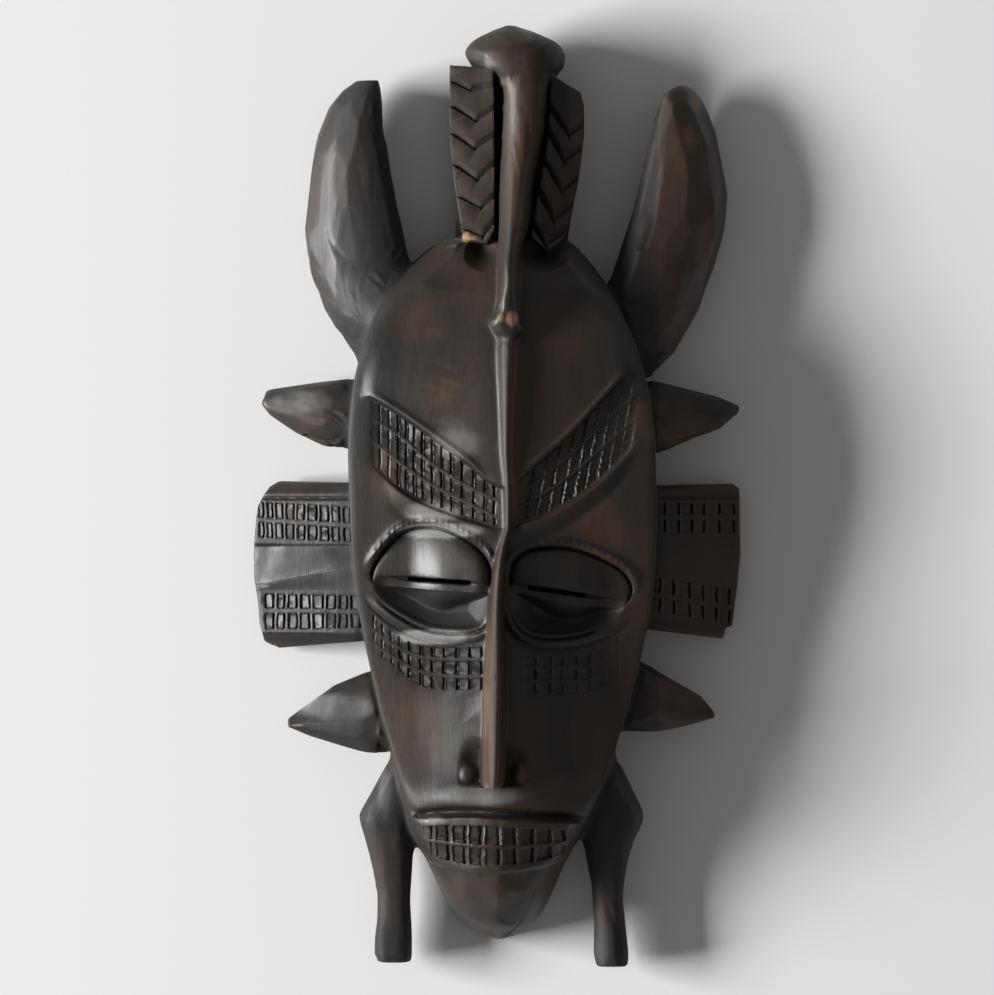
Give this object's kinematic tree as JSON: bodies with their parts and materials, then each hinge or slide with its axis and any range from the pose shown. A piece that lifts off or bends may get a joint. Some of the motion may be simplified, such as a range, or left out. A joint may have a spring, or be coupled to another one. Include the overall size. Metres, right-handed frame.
{
  "type": "carved wooden wall mask",
  "caption": "Long oval carved face mask with bird crest, horns, side spikes, ear flanges and legs, hollow behind.",
  "frame": {"origin": "middle of the outline seen from the front, in the plane of the flat back rim", "axes": "+X to the viewer's right across the face, +Y towards the crest, +Z out of the face"},
  "size_m": [0.1974, 0.3798, 0.072],
  "materials": {
    "stained_wood": "dark stain with a satin polish"
  },
  "bodies": {
    "root": {"mask": "stained_wood"}
  },
  "joints": []
}
